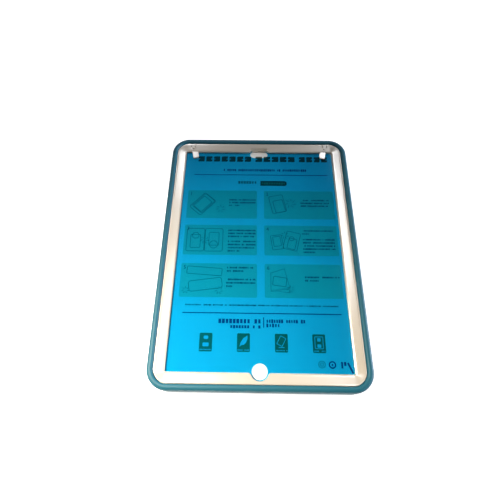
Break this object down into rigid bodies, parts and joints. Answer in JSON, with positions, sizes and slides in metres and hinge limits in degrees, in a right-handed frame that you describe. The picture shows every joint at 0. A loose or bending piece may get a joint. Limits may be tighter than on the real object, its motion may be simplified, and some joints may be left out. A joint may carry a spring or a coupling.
{
  "type": "shockproof tablet case",
  "caption": "Hard tablet case in a soft teal bumper, with a white front frame, a blue film over its clear screen sheet and a printed card inside.",
  "frame": {"origin": "middle of the case's back, on the surface it lies on", "axes": "+Z out of the screen side, +Y towards the tablet's camera end, +X to the right seen from the front"},
  "size_m": [0.1826, 0.2536, 0.0173],
  "materials": {
    "soft_bumper": "satin",
    "satin_frame": "satin",
    "hard_shell": "matte",
    "clear_sheet": "clear, gloss",
    "blue_film": "clear blue, gloss",
    "adhesive_tape": "matte",
    "printed_card": "coated"
  },
  "bodies": {
    "root": {"bumper": "soft_bumper", "front_frame": "satin_frame", "back_shell": "hard_shell", "screen_protector": "clear_sheet", "protective_film": "blue_film", "protector_tape": "adhesive_tape", "insert_card": "printed_card"}
  },
  "joints": []
}
